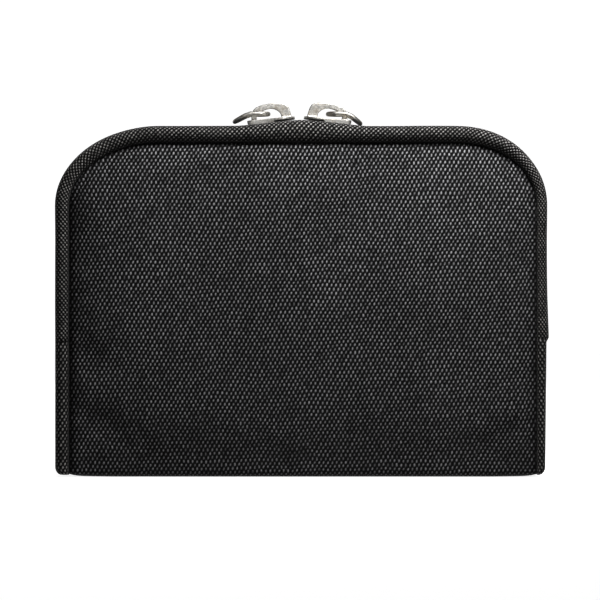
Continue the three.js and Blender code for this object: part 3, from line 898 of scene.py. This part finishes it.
def gusset(hand_name, hand):
    """A cloth gusset that lies along the side and folds in as a V. The fold dies away at the spine."""
    side_x = HALF_WIDTH - 2.45
    top, bottom = box_mm(f"gusset_{hand_name}")[1].z, 1.9
    corners = np.array([(0, 6.6), (0, 3.6), (0.2, 1.1), (5, 0.1), (11, -0.9), (16, -1.35), (18, -1.7),
                        (16, -2.05), (11, -2.5), (5, -3.5), (0.2, -4.5), (0, -5.4), (0, -6.6)])
    steps = np.linspace(0, len(corners) - 1, 61)
    path = np.stack([np.interp(steps, range(len(corners)), corners[:, c]) for c in (0, 1)], axis=1)
    for _ in range(3):
        path[1:-1] = (path[:-2] + 2 * path[1:-1] + path[2:]) / 4
    rows, uvs = [], []
    for z in np.linspace(bottom, top, 30):
        share = ease((z - bottom) / (top - bottom) * 1.15) * 0.9 + 0.1 * (z - bottom) / (top - bottom)
        ripple = [0.12 * rough(x, y * 3, z, 8, 9.0) for x, y in path]
        row = [(hand * (side_x - x * share), y + r, z) for (x, y), r in zip(path, ripple)]
        rows.append(row)
        uvs.append([(s, z) for s in lengths(path)])
    cloth = grid(f"gusset_{hand_name}_cloth", rows, uvs)
    thicken(cloth, 0.4, 0.0)
    dress(cloth, lining_cloth)
    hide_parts(f"gusset_{hand_name}")
    line = np.array(rows[-1])
    ahead = np.gradient(line, axis=0)
    ahead /= np.linalg.norm(ahead, axis=1)[:, None]
    hem = sweep(f"gusset_{hand_name}_hem", line, np.cross(ahead, (0, 0, 1)),
                repeated(len(line), 0, 0, 1),
                fine_profile([(-0.38, -1.8), (-0.4, -0.6), (-0.3, 0.15), (0, 0.3), (0.3, 0.15),
                              (0.4, -0.6), (0.38, -1.8), (0, -1.7)], 20))
    dress(hem, binding_cloth)
    for piece in (cloth, hem):
        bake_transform(piece)


inner_lining()
for half, side in SIDES:
    seam_binding(half, side)
for hand_name, hand in HANDS:
    gusset(hand_name, hand)

# ---- pockets ----

BINDING_SECTION = [(-0.42, -1.5), (-0.45, 0.0), (-0.42, 1.3), (-0.2, 1.62), (0.2, 1.62), (0.42, 1.3),
                   (0.45, 0.0), (0.42, -1.5), (0.2, -1.6), (-0.2, -1.6)]


def pocket_sheet(name, node, body, face_side, bulge=0.25):
    """A pocket's cloth sewn down at both sides and the bottom, standing a little off its backing."""
    low, high = box_mm(node)
    middle = (low.y + high.y) / 2
    xs = np.linspace(low.x, high.x, 60)
    zs = np.linspace(low.z, high.z + 1.5, 36)
    rows, uvs = [], []
    for z in zs:
        rise = ease((z - low.z) / 14)
        row = []
        for x in xs:
            sides = ease((x - low.x) / 12) * ease((high.x - x) / 12)
            y = middle - face_side * bulge * rise * sides * (0.5 + 0.5 * rough(x, 0, z, 22, low.z + high.z))
            row.append((x, y + 0.05 * rough(x, 3, z, 6, 2.0), z))
        rows.append(row)
        uvs.append([(x, z) for x in xs])
    cloth = grid(name, rows, uvs)
    thicken(cloth, 0.32, 0.0)
    fit(cloth, pocket_cloth, body, node)
    return cloth, (xs[-1] - xs[0], zs[-1] - zs[0]), rows[-1]


def pocket_binding(name, node, body, edge, face_side):
    """Ribbed tape folded over a pocket's top edge and sewn through."""
    low, high = box_mm(node)
    line = np.array(edge, float)
    line[:, 2] = (low.z + high.z) / 2
    count = len(line)
    binding = sweep(name, line, along_y(count, 1), repeated(count, 0, 0, 1),
                    fine_profile(BINDING_SECTION, 24))
    fit(binding, binding_cloth, body, node)
    sewn = line + np.array([0, -face_side * 0.44, -0.9])
    seam = stitch_row(f"{name}_stitches", sewn, along_y(count, -face_side), **FINE_STITCH)
    return [binding, fit(seam, thread, body)]


def passport_pocket():
    """The slip pocket for the passport: a front cloth with a standing wall at each side and a floor."""
    low, high = box_mm("passport_pocket")
    front, back, half_x, turn = low.y + 0.25, high.y - 0.2, high.x - 0.25, 2.2
    bends = np.linspace(0, math.pi / 2, 9)
    wall = [(-half_x, y) for y in np.linspace(back, front + turn, 6)[:-1]]
    wall += [(-half_x + turn * (1 - math.cos(t)), front + turn * (1 - math.sin(t))) for t in bends]
    middle = [(x, front) for x in np.linspace(-half_x + turn, half_x - turn, 60)[1:-1]]
    path = np.array(wall + middle + [(-x, y) for x, y in wall[::-1]])
    along = lengths(path)
    rows, uvs = [], []
    for share in (1.0, 0.75, 0.5, 0.25):
        rows.append([(x, y + (back - y) * share, low.z + 0.25) for x, y in path])
        uvs.append([(s, low.z - 4 * share) for s in along])
    for z in np.linspace(low.z + 0.6, high.z + 1.5, 34):
        row = []
        for x, y in path:
            inner = ease((half_x - abs(x)) / 10) * ease((z - low.z) / 12)
            row.append((x, y - 0.28 * inner * (0.4 + rough(x, 5, z, 24, 1.0)), z))
        rows.append(row)
        uvs.append([(s, z) for s in along])
    cloth = grid("passport_pocket_cloth", rows, uvs)
    thicken(cloth, 0.4, 0.0)
    fit(cloth, pocket_cloth, "back_half", "passport_pocket")
    return (cloth, (along[-1], rows[-1][0][2] - low.z + back - front),
            [p for p in rows[-1] if abs(p[0]) < half_x - turn + 0.1])


def bound_pocket(made, piece, node, body, face_side):
    cloth, (width, height), edge = made
    binding = pocket_binding(piece, node, body, edge, face_side)


bound_pocket(passport_pocket(), "passport_binding", "passport_pocket_binding", "back_half", 1)
bound_pocket(pocket_sheet("document_pocket_cloth", "document_pocket", "back_half", 1),
             "document_binding", "document_pocket_binding", "back_half", 1)
bound_pocket(pocket_sheet("note_pocket_cloth", "note_pocket", "front_half", -1, bulge=0.1),
             "note_binding", "note_pocket_binding", "front_half", -1)
for number in (1, 2, 3):
    made = pocket_sheet(f"card_slot_cloth_{number}", f"card_slot_{number}", "front_half", -1, bulge=0.12)
    bound_pocket(made, f"card_binding_{number}", f"card_slot_binding_{number}", "front_half", -1)

# ---- sliders and pulls ----

SLIDER_LENGTH = 13.7
HEAD_HALF, TAIL_HALF = 5.0, 4.3
UPPER_LOW, UPPER_HIGH = 1.8, 2.6
LOWER_LOW, LOWER_HIGH = -3.45, -2.5
FLANGE_LOW = -0.1


def slider_outline(inset=0.0):
    """Half widths along a slider, tail first, from above."""
    tail, head = -SLIDER_LENGTH / 2 + inset, SLIDER_LENGTH / 2 - inset
    narrow, wide = TAIL_HALF - inset, HEAD_HALF - inset
    upper = [(tail, narrow - 1.0), (tail + 0.35, narrow - 0.35), (tail + 1.0, narrow), (-1.5, narrow),
             (0.2, narrow + 0.3), (1.8, wide - 0.1), (3.0, wide), (4.3, wide - 0.15), (5.5, wide - 1.0),
             (6.4, wide - 2.0), (head, wide - 3.2)]
    return upper + [(x, -y) for x, y in reversed(upper)]


def prism(name, outline_points, low, high, upright=False):
    """A closed outline given thickness along Z, or along Y where it stands upright."""
    count = len(outline_points)
    points = [(a, b, t) if not upright else (a, t, b) for t in (low, high) for a, b in outline_points]
    faces = [list(range(count)), [count + i for i in range(count)][::-1]]
    faces += [[i, (i + 1) % count, count + (i + 1) % count, count + i] for i in range(count)]
    return outward(mesh_from(name, points, faces))


def combine(obj, other, operation):
    modifier = obj.modifiers.new(operation.lower(), "BOOLEAN")
    modifier.operation = operation
    modifier.object = other
    modifier.solver = "EXACT"
    settle(obj)
    bpy.data.objects.remove(other)


# The bridge in side view, as distance along the slider and height above the middle of the coils.
BRIDGE_OUTSIDE = [(-5.6, 2.2), (-5.6, 3.4), (-5.3, 4.6), (-4.8, 5.6), (-4.0, 6.25), (-2.2, 6.8), (0.2, 7.05),
                  (2.4, 6.95), (4.2, 6.6), (5.0, 6.1), (5.45, 5.2), (5.8, 3.8), (6.05, 2.2)]
BRIDGE_INSIDE = [(3.15, 2.2), (3.05, 3.0), (2.75, 4.05), (2.0, 4.8), (1.1, 5.3), (0.0, 5.5), (-1.4, 5.3),
                 (-2.7, 4.85), (-3.6, 4.2), (-4.0, 3.5), (-4.1, 2.2)]
CASTING_TILT = math.radians(5.5)  # the casting follows the slope of the parted zip


def slider(hand_name, hand):
    """A cast slider: flanged upper plate, lower plate, divider and bridge, blended like one casting."""
    body = prism(f"slider_{hand_name}_casting", slider_outline(), FLANGE_LOW, UPPER_HIGH)
    room = [(0.9, -8), (9, -8), (9, 8), (0.9, 8)]
    mouth = [(-9, -3.4), (-5.4, -3.4), (-5.4, 3.4), (-9, 3.4)]
    for opening in (slider_outline(0.9), room, mouth):
        combine(body, prism("opening", opening, FLANGE_LOW - 1, UPPER_LOW), "DIFFERENCE")
    combine(body, prism("lower", slider_outline(), LOWER_LOW, LOWER_HIGH), "UNION")
    turns = np.linspace(0, 2 * math.pi, 17)[:-1]
    wedge = [(1.6 + 2.6 * math.cos(t) + 1.0, 0.95 * math.sin(t)) for t in turns]
    combine(body, prism("divider", wedge, LOWER_LOW + 0.3, UPPER_HIGH - 0.3), "UNION")
    combine(body, prism("bridge", BRIDGE_OUTSIDE + BRIDGE_INSIDE, -1.3, 1.3, upright=True), "UNION")
    remesh = body.modifiers.new("remesh", "REMESH")
    remesh.mode = "VOXEL"
    remesh.voxel_size = 0.17 * MM
    smooth = body.modifiers.new("smooth", "SMOOTH")
    smooth.factor = 0.5
    smooth.iterations = 5
    settle(body)
    low, high = box_mm(f"slider_{hand_name}")
    place = Vector(((low.x + high.x) / 2, 0, 0))
    place.z = HEIGHT - CHAIN_DEPTH + CAD_HUMP * (1 - abs(place.x) / CAD_HUMP_REACH)
    turn = Matrix.Rotation(hand * CASTING_TILT, 4, "Y") @ Matrix.Rotation(math.pi if hand > 0 else 0, 4, "Z")
    body.data.transform(Matrix.Translation(place * MM) @ turn)
    fit(body, nickel, f"{hand_name}_slider", f"slider_{hand_name}")


def pull(hand_name, hand, bend):
    """A loop of wire hooked through the bridge, bent down near its middle."""
    pivot = joint_mm(f"{hand_name}_pull_swing")
    wire, length, width = 0.7, 11.5, 7.4
    reach, half = length / 2 - wire, width / 2 - wire
    bend_start, bend_radius = 4.8, 3.0
    line = []
    for k in range(72):
        turn = 2 * math.pi * k / 72
        x = half * math.cos(turn)
        along = reach + x + math.copysign(reach - half, x) * min(1, abs(x) / 0.35)
        past = max(0.0, along - bend_start)
        angle = min(bend, past / bend_radius)
        rest = past - angle * bend_radius
        level = min(along, bend_start) + bend_radius * math.sin(angle) + rest * math.cos(angle)
        drop = bend_radius * (1 - math.cos(angle)) + rest * math.sin(angle)
        line.append(pivot + (hand * level, half * math.sin(turn), -drop))
    loop = tube(f"pull_{hand_name}_loop", line, wire, loop=True, count=16)
    fit(loop, nickel, f"{hand_name}_pull", f"pull_{hand_name}")


for (hand_name, hand), bend in zip(HANDS, (28, 38)):
    slider(hand_name, hand)
    pull(hand_name, hand, math.radians(bend))

# ---- stage and light ----

def plain(name, glow):
    shader = Shader(name)
    return shader.finish(Base_Color=colour(0.8, 0.8, 0.8), Roughness=0.9,
                         Emission_Color=colour(1, 1, 1), Emission_Strength=glow)


ROOM = 3000.0  # the floor and the white walls reach this far from the wallet
FLOOR = -0.05  # a hair below the spine, so that the two don't touch


def card(name, corners, faces, material):
    made = mesh_from(name, corners, faces)
    made.data.materials.append(material)
    made.visible_diffuse = False
    return made


plan = [(-ROOM, -ROOM), (ROOM, -ROOM), (ROOM, ROOM), (-ROOM, ROOM)]
white = plain("white_backdrop", 1.0)
card("floor", [(x, y, FLOOR) for x, y in plan], [[0, 1, 2, 3]], plain("pale_floor", 0.85))
rim = [(x, y, z) for z in (FLOOR, ROOM) for x, y in plan]
card("backdrop", rim, [[2, 3, 7, 6]], white)
walls = card("walls", rim, [[0, 1, 5, 4], [1, 2, 6, 5], [3, 0, 4, 7]], white)
walls.visible_glossy = False
world = bpy.data.worlds.new("studio")
world.use_nodes = True
background = world.node_tree.nodes["Background"]
background.inputs[0].default_value = (1, 1, 1, 1)
background.inputs[1].default_value = 0.1
bpy.context.scene.world = world


def softbox(name, place, target, size, power):
    light = bpy.data.lights.new(name, "AREA")
    light.size = size * MM
    light.energy = power
    made = bpy.data.objects.new(name, light)
    made.location = Vector(place) * MM
    made.rotation_euler = (Vector(target) - Vector(place)).to_track_quat("-Z", "Y").to_euler()
    bpy.context.scene.collection.objects.link(made)


softbox("key", (55, -100, 232), (35, 0, 75), 110, 1.0)
softbox("front", (300, -1300, 300), (0, 0, 60), 600, 0.6)
softbox("rear", (-300, 1300, 420), (0, 0, 45), 600, 2.2)
